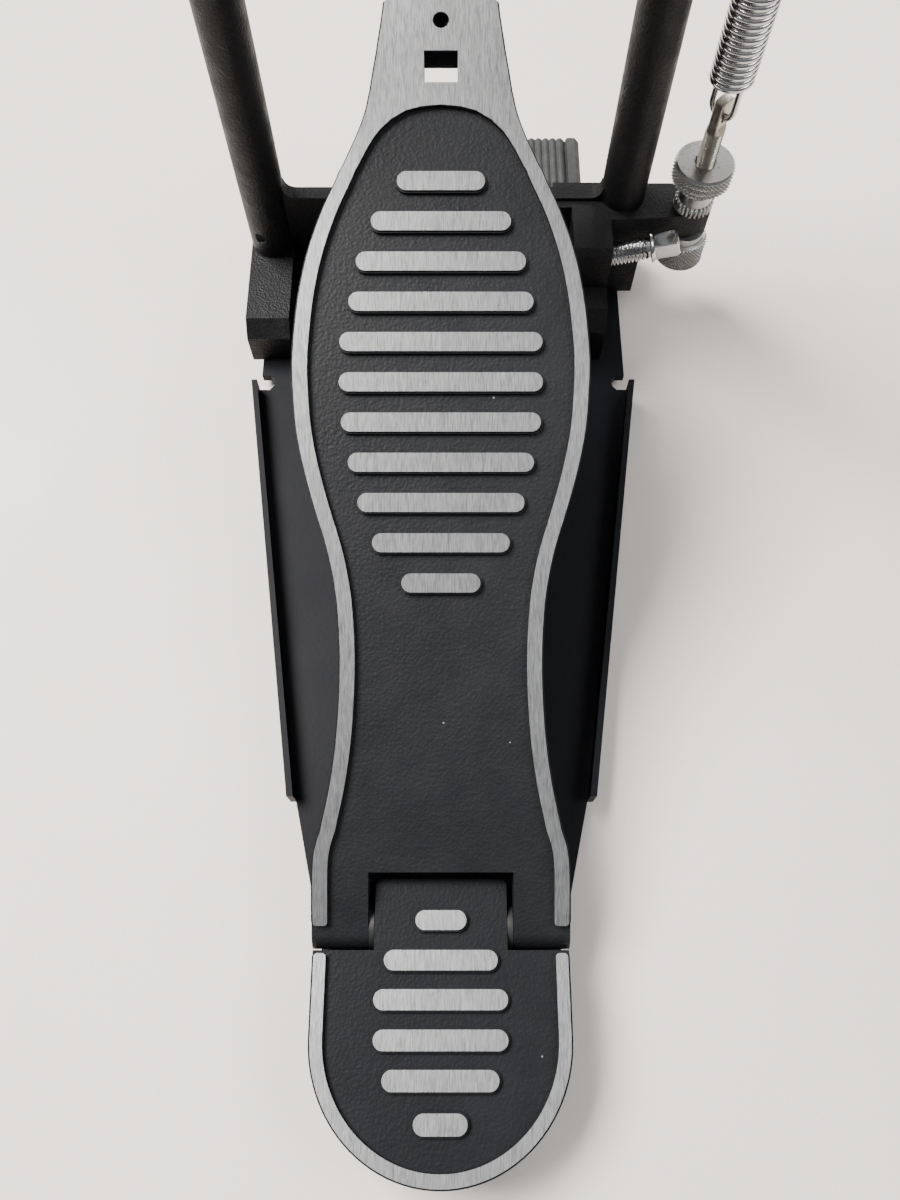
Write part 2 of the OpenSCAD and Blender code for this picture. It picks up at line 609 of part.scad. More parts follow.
// ---------- spring ----------
module spring_crank() color([0.12, 0.12, 0.13]) difference() {
  union() {
    along_x(crank_x[0], crank_x[1], 9.5, 0, axle_h);
    translate([crank_x[0] + 2, 0, axle_h]) rotate([90, 0, 90])
      linear_extrude(crank_x[1] - crank_x[0] - 2) {
        polygon([[-8, -4], [8, -4], [spring_y + 5.5, -crank_r], [spring_y - 5.5, -crank_r]]);
        translate([spring_y, -crank_r]) circle(r = 5.5);
      }
  }
  along_x(60, 100, journal_d / 2 + 0.02, 0, axle_h);
  along_x(60, 100, 2.6, spring_y, crank_pin_z);
  translate([76, 0, axle_h]) cylinder(r = 2.05, h = 20, $fn = 32);
}
module crank_screw() color([0.2, 0.2, 0.2]) translate([76, 0, axle_h + journal_d / 2 + 0.1]) grub(2, 5.2);
module crank_pin() color([0.7, 0.7, 0.72]) {
  along_x(crank_x[0] + 1, crank_x[1] + eps, 2.55, spring_y, crank_pin_z);
  along_x(crank_x[1], spring_x + 3.5, 2.2, spring_y, crank_pin_z);
  along_x(crank_x[1], spring_x - 2, 3.6, spring_y, crank_pin_z);
  along_x(spring_x + 2, spring_x + 3.6, 3.6, spring_y, crank_pin_z);
}
hook_wire = spring_wire / 2;
module hook_ring(z, turn) translate([spring_x, spring_y, z]) rotate([90, 0, turn])
  rotate_extrude($fn = 48) translate([hook_r, 0]) circle(r = hook_wire, $fn = 20);
module return_spring() color([0.8, 0.8, 0.82]) {
  difference() {
    translate([spring_x, spring_y, 0]) cylinder_between(spring_d / 2, coil_bottom, coil_top);
    translate([spring_x, spring_y, 0]) cylinder_between(spring_d / 2 - spring_wire, coil_bottom - 1, coil_top + 1);
  }
  hook_ring(rod_hole_z + hook_r - 0.3, hook_turn);
  for (z = [coil_bottom, coil_top - spring_wire]) translate([spring_x, spring_y, z]) cylinder_ring();
  translate([spring_x, spring_y, 0]) cylinder_between(hook_wire, rod_hole_z + 2 * hook_r - 0.3, coil_bottom + 1.5);
}
// Upper hook of the return spring, which the coils carry up as they stretch
upper_hook_z = crank_pin_z - hook_r + hook_wire + 2.35;
module spring_hook() color([0.8, 0.8, 0.82]) {
  hook_ring(upper_hook_z, 90);
  translate([spring_x, spring_y, 0]) cylinder_between(hook_wire, coil_top + seat, upper_hook_z - hook_r);
}
module cylinder_ring() difference() {
  cylinder(r = spring_d / 2 - 0.2, h = spring_wire, $fn = 48);
  for (s = [-1, 1]) translate([0, s * 4.1, -1]) cylinder(r = 1.6, h = 10, $fn = 24);
}
module spring_rod() color([0.55, 0.54, 0.5]) translate([spring_x, spring_y, 0])
rotate([0, 0, hook_turn]) difference() {
  cylinder_between(adjuster_d / 2, rod_bottom, rod_top);
  for (s = [-1, 1]) translate([s * (1.7 + 5), 0, rod_hole_z + 2]) cube([10, 20, 16], center = true);
  translate([0, 0, rod_hole_z]) rotate([0, 90, 0]) cylinder(r = 1.35, h = 20, center = true, $fn = 32);
}
module nut_bore(z0, z1) cylinder_between(adjuster_d / 2 + fit, z0 - 1, z1 + 1);
upper_top = 63.8;
upper_hub = 57.5;
module upper_spring_nut() color([0.8, 0.8, 0.82]) translate([spring_x, spring_y, 0]) difference() {
  union() {
    cylinder_between(10, upper_hub, upper_top);
    cylinder_between(5.4, arm_z[1] + seat, upper_hub + eps);
    cylinder_between(6.6, arm_z[1] + seat, arm_z[1] + 4);
    translate([0, 0, upper_hub - 4]) cylinder(r1 = 5.4, r2 = 9, h = 4 + eps);
  }
  nut_bore(arm_z[1], upper_top);
  cylinder_between(5, upper_top - 1.2, upper_top + 1);
}
module lower_spring_nut() color([0.8, 0.8, 0.82]) translate([spring_x, spring_y, 0]) difference() {
  union() {
    cylinder_between(8.6, 22, 32);
    cylinder_between(6.6, 31.9, arm_z[0] - seat);
  }
  nut_bore(20, arm_z[0]);
}

// ---------- chain ----------
// A link lies along -Z from its upper pin; plates are spaced about the centre plane
module link_plates(x, hole) for (s = [-1, 1]) translate([s * (x + link_t / 2), 0, 0])
  rotate([90, 0, 90]) translate([0, 0, -link_t / 2]) linear_extrude(link_t) difference() {
    translate([0, -pitch / 2]) rotate(90) round_slot(pitch + link_h, link_h);
    for (z = [0, -pitch]) translate([0, z]) circle(r = hole, $fn = 32);
  }
link_pin_x = outer_plate_x + link_t + 0.3;
module link_pin(z) along_x(-link_pin_x, link_pin_x, chain_pin_d / 2, 0, z);
module link_roller(z)
  ring_x(-inner_plate_x, inner_plate_x, roller_d / 2, chain_pin_d / 2 + fit, 0, z);
module inner_plates() link_plates(inner_plate_x, chain_pin_d / 2 + fit);
module outer_plates() link_plates(outer_plate_x, chain_pin_d / 2);
// Places a link whose upper pin is the k-th pin round the sprocket, counted up from the front
module wrapped(k) translate([0, pitch_r * cos(k * tooth_step), axle_h + pitch_r * sin(k * tooth_step)])
  rotate([(k - 0.5) * tooth_step, 0, 0]) children();
module hanging(k) translate([0, pitch_r, axle_h - k * pitch]) children();
module anchor_link() color([0.45, 0.45, 0.46]) wrapped(3) {
  outer_plates();
  link_pin(0);
  link_pin(-pitch);
  ring_x(-outer_plate_x + 0.05, outer_plate_x - 0.05, roller_d / 2, chain_pin_d / 2 - 0.1);
}
module inner_link() color([0.45, 0.45, 0.46]) wrapped(2) {
  inner_plates();
  link_roller(0);
  link_roller(-pitch);
}
module outer_link() color([0.45, 0.45, 0.46]) wrapped(1) {
  outer_plates();
  link_pin(0);
  link_pin(-pitch);
}
module run_inner_plates() color([0.45, 0.45, 0.46]) for (k = [0 : 2 : run_links - 1])
  hanging(k) inner_plates();
module run_outer_plates() color([0.45, 0.45, 0.46]) for (k = [1 : 2 : run_links - 1])
  hanging(k) outer_plates();
module run_rollers() color([0.6, 0.6, 0.62]) for (k = [0 : run_links - 1]) hanging(k) link_roller(0);
module run_pins() color([0.7, 0.7, 0.72]) for (k = [1 : run_links]) hanging(k) link_pin(0);
// Last link: its wide eye takes the footboard's chain bolt
module chain_end() color([0.5, 0.5, 0.51]) hanging(run_links) difference() {
  union() {
    along_x(-outer_plate_x + 0.15, outer_plate_x - 0.15, 4.3);
    along_x(-outer_plate_x + 0.15, outer_plate_x - 0.15, eye_r + 2, 0, -end_l);
    box([-outer_plate_x + 0.15, -3.6, -end_l], [outer_plate_x - 0.15, 3.6, 0]);
  }
  along_x(-20, 20, chain_pin_d / 2 + fit);
  along_x(-20, 20, eye_r, 0, -end_l);
}

// ---------- hoop clamp ----------
plate_low = boot_bottom + (boot_t - jaw_plate_t) / 2;
module clamp_lever() color([0.1, 0.1, 0.11]) difference() {
  union() {
    profile_x(lever_x[0], lever_x[1], [[pivot_y, pivot_z + 5], [pivot_y, pivot_z],
      [pivot_y + 5, pivot_z - 3], [-4, 16], [6, 21], [8, plate_low], [jaw_front - 3, plate_low], [jaw_front - 3, plate_low + jaw_plate_t],
      [4, plate_low + jaw_plate_t], [-4, 21]]);
    along_x(lever_x[0], lever_x[1], 5.6, pivot_y, pivot_z);
    box([lever_x[1] - 1, jaw_rear + 2, plate_low], [boot_x[1] - 3, jaw_front - 3, plate_low + jaw_plate_t]);
    box([push_x[0], key_y - 6, 16], [push_x[1], key_y + 5, push_top]);
  }
  along_x(-60, 60, pivot_r + fit, pivot_y, pivot_z);
  translate([0, -14, 0]) cylinder(r = 4, h = 17, $fn = 48);
}
module clamp_pivot() color([0.6, 0.6, 0.62]) along_x(-57.5, 49.5, pivot_r, pivot_y, pivot_z);
module clamp_spring() color([0.6, 0.6, 0.62]) translate([0, -14, 0]) difference() {
  cylinder_between(3.6, floor_z, 17);
  cylinder_between(2.6, floor_z - 1, 18);
}
rib_pitch = 2.6;
rib_rise = 0.9;
ribs = floor((boot_x[1] - boot_x[0] - 6) / rib_pitch);
module clamp_boot() color([0.16, 0.17, 0.17]) difference() {
  translate([0, jaw_front, 0]) rotate([90, 0, 0]) linear_extrude(jaw_depth) polygon(concat(
    [[boot_x[0], boot_bottom + 2], [boot_x[0] + 2, boot_bottom], [boot_x[1] - 2, boot_bottom],
      [boot_x[1], boot_bottom + 2], [boot_x[1], boot_bottom + boot_t - 2], [boot_x[1] - 1.6, boot_bottom + boot_t],
      [boot_x[1] - 4.6, boot_bottom + boot_t], [boot_x[1] - 5.2, boot_bottom + boot_t - 1.8]],
    [for (i = [0 : ribs * 4]) [boot_x[1] - 5.8 - i * rib_pitch / 4,
      boot_bottom + boot_t - rib_rise * pow(cos(i * 45), 4)]],
    [[boot_x[0], boot_bottom + boot_t - 2]]));
  box([lever_x[0] - 0.1, jaw_rear - 1, plate_low - 0.1],
    [boot_x[1] - 2.9, jaw_front - 2.9, plate_low + jaw_plate_t + 0.1]);
}
module lower_clamp_pad() color([0.1, 0.1, 0.1])
  box([boot_x[0], jaw_rear + 1, floor_z], [boot_x[1], plate_front - 2, floor_z + lower_jaw_t]);
// Square-headed clamp bolt with a flange and a conical point
module clamp_bolt() color([0.82, 0.82, 0.84]) key_axis() {
  translate([0, 0, -key_in + 3]) cylinder(r = key_r, h = key_in - 3 + key_out);
  translate([0, 0, -key_in]) cylinder(r1 = 1, r2 = key_r, h = 3);
  translate([0, 0, key_out]) cylinder(r = 5.1, h = 1.6);
  translate([-3.2, -3.2, key_out + 1.5]) cube([6.4, 6.4, 8.2]);
}

base_plate();
floor_pads();
frame_screws();
heel_screws();
heel_plate();
hinge_pin();
hinge_washers();
footboard();
frame();
bearing_outer_races();
bearing_inner_races();
bearing_balls();
bearing_cages();
bearing_shields();
axle();
axle_collar();
collar_screw();
sprocket();
sprocket_screw();
beater_hub();
hub_screws();
beater_rod();
beater_clamp_screw();
beater_felt();
beater_core();
beater_washer();
spring_crank();
crank_screw();
crank_pin();
return_spring();
spring_hook();
spring_rod();
upper_spring_nut();
lower_spring_nut();
anchor_link();
inner_link();
outer_link();
run_inner_plates();
run_outer_plates();
run_rollers();
run_pins();
chain_end();
chain_bolt();
chain_nut();
chain_spacers();
clamp_lever();
clamp_pivot();
clamp_boot();
lower_clamp_pad();
clamp_bolt();
clamp_spring();
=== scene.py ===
import json
import math

import bpy
from mathutils import Matrix, Vector, noise
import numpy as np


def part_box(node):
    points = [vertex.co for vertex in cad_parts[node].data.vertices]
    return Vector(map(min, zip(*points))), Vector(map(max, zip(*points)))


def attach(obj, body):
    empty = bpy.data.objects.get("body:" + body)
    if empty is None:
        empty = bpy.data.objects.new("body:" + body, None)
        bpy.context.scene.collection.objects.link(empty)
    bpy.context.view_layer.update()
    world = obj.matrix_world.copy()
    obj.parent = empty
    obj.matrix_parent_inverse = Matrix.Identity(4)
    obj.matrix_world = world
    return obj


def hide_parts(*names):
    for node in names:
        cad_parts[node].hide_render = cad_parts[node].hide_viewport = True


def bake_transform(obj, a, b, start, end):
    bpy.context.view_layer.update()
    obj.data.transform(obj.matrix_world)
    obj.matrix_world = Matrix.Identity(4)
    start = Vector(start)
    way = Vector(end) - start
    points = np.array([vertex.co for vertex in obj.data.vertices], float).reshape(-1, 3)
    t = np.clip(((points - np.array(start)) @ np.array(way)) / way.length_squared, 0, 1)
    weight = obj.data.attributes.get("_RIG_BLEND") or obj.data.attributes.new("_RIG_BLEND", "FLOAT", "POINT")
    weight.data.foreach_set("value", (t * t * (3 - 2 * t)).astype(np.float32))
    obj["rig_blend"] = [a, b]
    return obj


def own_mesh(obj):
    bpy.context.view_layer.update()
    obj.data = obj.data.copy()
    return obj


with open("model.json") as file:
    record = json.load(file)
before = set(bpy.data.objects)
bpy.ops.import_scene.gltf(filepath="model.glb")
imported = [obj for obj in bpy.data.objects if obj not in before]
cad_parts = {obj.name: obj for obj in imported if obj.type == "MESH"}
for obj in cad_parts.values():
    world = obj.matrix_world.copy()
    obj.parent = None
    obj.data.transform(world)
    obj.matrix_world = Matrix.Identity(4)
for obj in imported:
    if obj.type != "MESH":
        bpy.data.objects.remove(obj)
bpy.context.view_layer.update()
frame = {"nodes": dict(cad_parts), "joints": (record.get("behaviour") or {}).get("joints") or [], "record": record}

NODES = frame["nodes"]
RECORD = frame["record"]
JOINTS = {j["name"]: j for j in frame["joints"]}
MM = 0.001


# ---------------------------------------------------------------- camera
CAMERA_AT = Vector((0.0025, -0.252, 0.3017))
CAMERA_TILT = math.radians(21.8)   # from straight down
LENS = 29.1
SENSOR = 36

camera_data = bpy.data.cameras.new("camera")
camera_data.lens = LENS
camera_data.sensor_width = SENSOR
camera_data.clip_start = 0.01
camera = bpy.data.objects.new("camera", camera_data)
camera.location = CAMERA_AT
camera.rotation_euler = (CAMERA_TILT, 0, 0)
bpy.context.scene.collection.objects.link(camera)
bpy.context.scene.camera = camera


# ---------------------------------------------------------------- node helpers
class Shader:
    """A principled material with short calls for the nodes it needs."""

    def __init__(self, name, color, rough, metal=0.0, spec=0.5):
        self.material = bpy.data.materials.new(name)
        self.material.use_nodes = True
        self.tree = self.material.node_tree
        self.bsdf = self.tree.nodes["Principled BSDF"]
        self.bsdf.inputs["Base Color"].default_value = (*color, 1)
        self.bsdf.inputs["Roughness"].default_value = rough
        self.bsdf.inputs["Metallic"].default_value = metal
        self.bsdf.inputs["Specular IOR Level"].default_value = spec
        self.material.diffuse_color = (*color, 1)

    def node(self, kind, **values):
        made = self.tree.nodes.new(kind)
        for key, value in values.items():
            if key in made.inputs:
                made.inputs[key].default_value = value
            else:
                setattr(made, key, value)
        return made

    def link(self, source, target):
        self.tree.links.new(source, target)

    def place(self, scale=(1, 1, 1), turn=(0, 0, 0)):
        """Object coordinates, which are the row frame's metres, turned and then scaled."""
        coords = self.node("ShaderNodeTexCoord")
        turned = self.node("ShaderNodeVectorRotate", rotation_type="EULER_XYZ", Rotation=turn)
        mapping = self.node("ShaderNodeMapping", Scale=scale)
        self.link(coords.outputs["Object"], turned.inputs["Vector"])
        self.link(turned.outputs["Vector"], mapping.inputs["Vector"])
        return mapping.outputs["Vector"]

    def noise(self, size, detail=3, rough=0.5, vector=None):
        """Noise whose features are about size metres across."""
        made = self.node("ShaderNodeTexNoise", Scale=1 / size, Detail=detail, Roughness=rough)
        self.link(vector or self.place(), made.inputs["Vector"])
        return made.outputs["Fac"]

    def cells(self, size, feature="F1"):
        """Distance to the nearest of scattered points, about size metres apart."""
        made = self.node("ShaderNodeTexVoronoi", Scale=1 / size, feature=feature)
        self.link(self.place(), made.inputs["Vector"])
        return made.outputs["Distance"]

    def ramp(self, value, low, high, out_low=0.0, out_high=1.0):
        """A value from low to high, mapped to out_low to out_high and held outside them."""
        made = self.node("ShaderNodeMapRange")
        made.inputs["From Min"].default_value = low
        made.inputs["From Max"].default_value = high
        made.inputs["To Min"].default_value = out_low
        made.inputs["To Max"].default_value = out_high
        self.link(value, made.inputs["Value"])
        return made.outputs["Result"]

    def math(self, operation, a, b=0.0):
        made = self.node("ShaderNodeMath", operation=operation)
        for socket, value in zip(made.inputs, (a, b)):
            if isinstance(value, (int, float)):
                socket.default_value = value
            else:
                self.link(value, socket)
        return made.outputs["Value"]

    def mix(self, factor, a, b):
        made = self.node("ShaderNodeMix", data_type="RGBA")
        sockets = (made.inputs["Factor"], made.inputs[6], made.inputs[7])
        for socket, value in zip(sockets, (factor, a, b)):
            if isinstance(value, tuple):
                socket.default_value = (*value, 1)
            elif isinstance(value, (int, float)):
                socket.default_value = value
            else:
                self.link(value, socket)
        return made.outputs[2]

    def bump(self, height, distance, strength=1.0, after=None):
        made = self.node("ShaderNodeBump", Strength=strength, Distance=distance)
        self.link(height, made.inputs["Height"])
        if after is not None:
            self.link(after, made.inputs["Normal"])
        return made.outputs["Normal"]

    def set(self, **sources):
        for name, source in sources.items():
            self.link(source, self.bsdf.inputs[name.replace("_", " ")])


# ---------------------------------------------------------------- materials
def powder_coat():
    s = Shader("textured_black_coat", (0.009, 0.009, 0.010), 0.55, spec=0.2)
    grain = s.cells(0.0008)
    lumps = s.noise(0.0024, 4)
    normal = s.bump(lumps, 0.00022, 0.45)
    normal = s.bump(grain, 0.0002, 0.7, normal)
    rub = s.ramp(s.noise(0.012, 5, 0.65), 0.55, 0.8)
    s.set(Base_Color=s.mix(rub, (0.0085, 0.0085, 0.0095), (0.018, 0.018, 0.019)),
          Roughness=s.ramp(s.noise(0.006, 3), 0.3, 0.7, 0.42, 0.62), Normal=normal)
    return s.material


def sheet_paint():
    s = Shader("satin_black_sheet", (0.0065, 0.007, 0.010), 0.55, spec=0.15)
    fine = s.noise(0.0012, 3)
    wave = s.noise(0.02, 2)
    scuffs = s.ramp(s.noise(0.0025, 6, 0.75, s.place((1, 0.12, 1))), 0.64, 0.8)
    scuffed = s.math("MULTIPLY", scuffs, 0.2)
    s.set(Base_Color=s.mix(scuffed, (0.0065, 0.007, 0.010), (0.024, 0.026, 0.033)),
          Roughness=s.ramp(wave, 0.3, 0.7, 0.52, 0.58), Normal=s.bump(fine, 0.0001, 0.5))
    return s.material


CAST_BLACK = (0.0105, 0.0112, 0.0130)
BARE_FROM = 0.50 * MM          # the brushed metal starts and is full this far below the top face
BARE_FULL = 0.38 * MM


def cast_and_brushed(name, pivot, tilt, height, spec):
    """Black leather-grain paint, with every face at the casting's top brushed bare.
    pivot is a point below the top face, tilt its slope and height its rise above the pivot."""
    s = Shader(name, CAST_BLACK, 0.5, spec=spec)
    coords = s.node("ShaderNodeTexCoord")
    parts = s.node("ShaderNodeSeparateXYZ")
    s.link(coords.outputs["Object"], parts.inputs["Vector"])
    rise = s.math("MULTIPLY", s.math("SUBTRACT", parts.outputs["Z"], pivot[1]), math.cos(tilt))
    run = s.math("MULTIPLY", s.math("SUBTRACT", parts.outputs["Y"], pivot[0]), math.sin(tilt))
    above = s.math("SUBTRACT", rise, run)
    bare = s.ramp(above, height - BARE_FROM, height - BARE_FULL)
    turn = (-tilt, 0, 0)
    strokes = s.noise(0.0022, 4, 0.7, s.place((7, 0.45, 1), turn))
    fine_strokes = s.noise(0.0008, 3, 0.65, s.place((3.2, 0.22, 1), turn))
    cloud = s.noise(0.009, 4)
    stain = s.ramp(s.noise(0.004, 5, 0.7), 0.58, 0.72)
    metal = s.mix(s.ramp(strokes, 0.3, 0.7), (0.22, 0.223, 0.228), (0.40, 0.405, 0.41))
    bright = s.math("MULTIPLY", s.ramp(fine_strokes, 0.42, 0.62), 0.75)
    metal = s.mix(bright, metal, (0.50, 0.505, 0.51))
    metal = s.mix(s.math("MULTIPLY", stain, 0.3), metal, (0.17, 0.17, 0.17))
    leather = s.cells(0.0008, feature="SMOOTH_F1")
    creases = s.noise(0.0016, 4, 0.55)
    dust = s.ramp(s.noise(0.03, 6, 0.7), 0.45, 0.8)
    paint = s.mix(s.math("MULTIPLY", dust, 0.5), CAST_BLACK, (0.019, 0.020, 0.023))
    specks = s.ramp(s.cells(0.0065), 0.05, 0.035)
    speck_gate = s.ramp(s.noise(0.02, 2), 0.58, 0.62)
    chips = s.math("MULTIPLY", s.math("MULTIPLY", specks, speck_gate), 0.7)
    paint = s.mix(chips, paint, (0.4, 0.4, 0.4))
    paint_normal = s.bump(leather, 0.00022, 0.5)
    paint_normal = s.bump(creases, 0.00018, 0.5, paint_normal)
    metal_normal = s.bump(strokes, 0.00004, 0.5)
    normals = s.node("ShaderNodeMix", data_type="VECTOR")
    s.link(bare, normals.inputs["Factor"])
    s.link(paint_normal, normals.inputs[4])
    s.link(metal_normal, normals.inputs[5])
    rough = s.node("ShaderNodeMix", data_type="FLOAT")
    s.link(bare, rough.inputs["Factor"])
    s.link(s.ramp(cloud, 0.3, 0.7, 0.44, 0.6), rough.inputs[2])
    s.link(s.ramp(strokes, 0.2, 0.8, 0.34, 0.5), rough.inputs[3])
    s.set(Base_Color=s.mix(bare, paint, metal), Metallic=s.math("MULTIPLY", bare, 0.92),
          Roughness=rough.outputs[0], Normal=normals.outputs[1])
    return s.material


def plated(name, color, rough, wear=0.12, relief=0.35):
    """Zinc, chrome or steel: metal with faint cloudiness and handling marks, relief deep."""
    s = Shader(name, color, rough, metal=1.0)
    dull = tuple(c * (1 - wear) for c in color)
    cloud = s.noise(0.006, 5, 0.65)
    marks = s.noise(0.0015, 4, 0.7)
    s.set(Base_Color=s.mix(s.ramp(cloud, 0.35, 0.7), color, dull),
          Roughness=s.ramp(marks, 0.3, 0.75, rough * 0.8, min(1, rough * 1.45)),
          Normal=s.bump(marks, 0.00003, relief))
    return s.material


def rubber():
    s = Shader("moulded_rubber", (0.030, 0.032, 0.032), 0.62, spec=0.4)
    bloom = s.ramp(s.noise(0.006, 5, 0.7), 0.4, 0.75)
    s.set(Base_Color=s.mix(bloom, (0.026, 0.028, 0.028), (0.055, 0.057, 0.056)),
          Roughness=s.ramp(s.noise(0.002, 3), 0.3, 0.7, 0.55, 0.75),
          Normal=s.bump(s.noise(0.0006, 2), 0.00012, 0.5))
    return s.material


def plastic(name, color, rough):
    s = Shader(name, color, rough)
    worn = tuple(c * 0.82 for c in color)
    s.set(Base_Color=s.mix(s.ramp(s.noise(0.008, 4), 0.3, 0.8), color, worn),
          Normal=s.bump(s.noise(0.0008, 2), 0.00005, 0.4))
    return s.material


def felt():
    s = Shader("pressed_felt", (0.70, 0.67, 0.60), 0.95, spec=0.15)
    s.bsdf.inputs["Sheen Weight"].default_value = 0.6
    s.bsdf.inputs["Sheen Roughness"].default_value = 0.5
    fibres = s.noise(0.0011, 6, 0.75)
    matting = s.noise(0.006, 4)
    normal = s.bump(matting, 0.0006, 0.5)
    normal = s.bump(fibres, 0.0005, 0.8, normal)
    s.set(Base_Color=s.mix(s.ramp(fibres, 0.3, 0.75), (0.62, 0.59, 0.52), (0.80, 0.78, 0.72)),
          Normal=normal)
    return s.material


def floor_surface():
    s = Shader("pale_table", (0.86, 0.79, 0.735), 0.5)
    shade = s.ramp(s.noise(0.25, 3), 0.35, 0.7)
    s.set(Base_Color=s.mix(shade, (0.88, 0.81, 0.755), (0.83, 0.76, 0.705)),
          Roughness=s.ramp(s.noise(0.05, 4), 0.3, 0.7, 0.42, 0.6))
    return s.material


BOARD_HINGE = JOINTS["footboard_press"]["pos_m"]
BOARD_TILT = CAMERA_TILT       # the board happens to lie square to the camera
PATTERN_TOP = 7.5 * MM         # the board's bars above its hinge's centre line
HEEL_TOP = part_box("heel_plate")[1].z
MATERIALS = {
    "black_powder_coat": powder_coat(),
    "black_steel": sheet_paint(),
    "board_casting": cast_and_brushed("footboard_finish", BOARD_HINGE[1:], BOARD_TILT, PATTERN_TOP, 0.25),
    "zinc": plated("zinc_plate", (0.60, 0.61, 0.62), 0.32),
    "black_oxide": plated("black_oxide", (0.035, 0.035, 0.037), 0.42),
    "chrome": plated("chrome_plate", (0.60, 0.605, 0.61), 0.17, 0.15),
    "bearing_steel": plated("bearing_steel", (0.62, 0.62, 0.63), 0.22),
    "cage_brass": plated("cage_brass", (0.62, 0.45, 0.19), 0.34),
    "sprocket_metal": plated("machined_alloy", (0.66, 0.665, 0.67), 0.36, 0.15),
    "chain_steel": plated("nickel_steel", (0.52, 0.515, 0.50), 0.28, 0.2),
    "nylon": plastic("nylon_washer", (0.02, 0.02, 0.02), 0.45),
    "rubber": rubber(),
    "felt": felt(),
    "core_plastic": plastic("beater_core_plastic", (0.02, 0.02, 0.02), 0.4),
    "adjuster_zinc": plated("aged_zinc", (0.40, 0.375, 0.32), 0.30, 0.3, relief=0.12),
}
KNURLED_ZINC = plated("dull_zinc", (0.44, 0.44, 0.43), 0.30, 0.08, relief=0.08)
HEEL_FINISH = cast_and_brushed("heel_finish", (0.0, 0.0), 0.0, HEEL_TOP, 0.10)


# ---------------------------------------------------------------- mesh helpers
def new_piece(name, verts, faces, slot, body):
    """A smooth mesh in a slot's material, riding on body where one is named."""
    mesh = bpy.data.meshes.new(name)
    mesh.from_pydata([tuple(v) for v in verts], [], faces)
    mesh.validate()
    mesh.update()
    piece = bpy.data.objects.new(name, mesh)
    bpy.context.scene.collection.objects.link(piece)
    for polygon in mesh.polygons:
        polygon.use_smooth = True
    piece.data.materials.append(MATERIALS[slot])
    if body:
        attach(piece, body)
    return piece


def grid_faces(rows, columns, start=0):
    """Quads over rows of points that each close on themselves."""
    return [(start + r * columns + c, start + r * columns + (c + 1) % columns,
             start + (r + 1) * columns + (c + 1) % columns, start + (r + 1) * columns + c)
            for r in range(rows - 1) for c in range(columns)]


def turned(rings, segments):
    """A closed body of revolution about Z: rings is a list of (z, radius, kind), and kind
    puts a knurl or thread on it."""
    verts = []
    for z, radius, kind in rings:
        for c in range(segments):
            angle = 2 * math.pi * c / segments
            r = shaped_radius(kind, radius, angle, z)
            verts.append(Vector((r * math.cos(angle), r * math.sin(angle), z)))
    faces = grid_faces(len(rings), segments)
    faces.append(tuple(reversed(range(segments))))
    last = (len(rings) - 1) * segments
    faces.append(tuple(range(last, last + segments)))
    return verts, faces


def sweep(points, radius, sides=12):
    """A round tube along points, with closed ends."""
    verts = []
    normal = None
    for i, point in enumerate(points):
        ahead = points[min(i + 1, len(points) - 1)] - points[max(i - 1, 0)]
        ahead.normalize()
        if normal is None:
            normal = ahead.orthogonal().normalized()
        normal = (normal - ahead * normal.dot(ahead)).normalized()
        side = ahead.cross(normal)
        for c in range(sides):
            angle = 2 * math.pi * c / sides
            verts.append(point + radius * (math.cos(angle) * normal + math.sin(angle) * side))
    faces = grid_faces(len(points), sides)
    faces.append(tuple(reversed(range(sides))))
    last = (len(points) - 1) * sides
    faces.append(tuple(range(last, last + sides)))
    return verts, faces


def triangle_wave(x):
    return abs((x % 1.0) * 2 - 1)


THREAD_PITCH = {"fine": 1.0 * MM, "coarse": 1.25 * MM}      # M6 and M8
THREAD_DEPTH = 0.54            # of the pitch
KNURL_TEETH = 44
KNURL_ROW = 1.4 * MM
KNURL_DEPTH = 0.8 * MM
SERRATIONS = 26
SERRATION_DEPTH = 0.9 * MM


def shaped_radius(kind, radius, angle, z):
    """Radius of a turned surface: plain, threaded, diamond knurled or serrated."""
    turn = angle / (2 * math.pi)
    if kind in THREAD_PITCH:
        pitch = THREAD_PITCH[kind]
        crest = triangle_wave(z / pitch - turn)
        return radius - THREAD_DEPTH * pitch * min(1.0, max(0.0, 1.15 - 1.3 * crest))
    if kind == "knurl":
        around = KNURL_TEETH * turn
        rows = z / KNURL_ROW
        groove = max(triangle_wave(around + rows), triangle_wave(around - rows))
        return radius - KNURL_DEPTH * max(0.0, groove - 0.25)
    if kind == "serration":
        return radius - SERRATION_DEPTH * triangle_wave(SERRATIONS * turn) ** 1.5
    return radius


def rings_between(z0, z1, r0, r1, kind, step):
    """Rings for turned, about step apart, from one height and radius to another."""
    count = max(1, round(abs(z1 - z0) / step))
    return [(z0 + (z1 - z0) * i / count, r0 + (r1 - r0) * i / count, kind)
            for i in range(count + 1)]


def place(verts, matrix):
    return [matrix @ v for v in verts]


# ---------------------------------------------------------------- CAD nodes that stay
# bevel widths in mm
BEVELS = {"base_plate": 0.5, "floor_pads": 0.4, "heel_plate": 0.2, "footboard": 0.2, "frame": 0.7,
          "clamp_lever": 0.8, "clamp_boot": 0.25, "lower_clamp_pad": 0.5, "beater_hub": 0.9,
          "spring_crank": 0.7, "sprocket": 0.2, "axle_collar": 0.5, "beater_rod": 0.4,
          "beater_core": 0.6, "chain_end": 0.3, "beater_clamp_screw": 0.35, "crank_pin": 0.25}
SMALL_BEVEL = 0.12
EVEN_SHADING = ("frame",)      # its drilled posts need their normals weighted by area
OWN_FINISH = {"heel_plate": HEEL_FINISH, "clamp_pivot": MATERIALS["black_oxide"]}
SHARP = math.radians(32)
WELD_WITHIN = 0.004 * MM


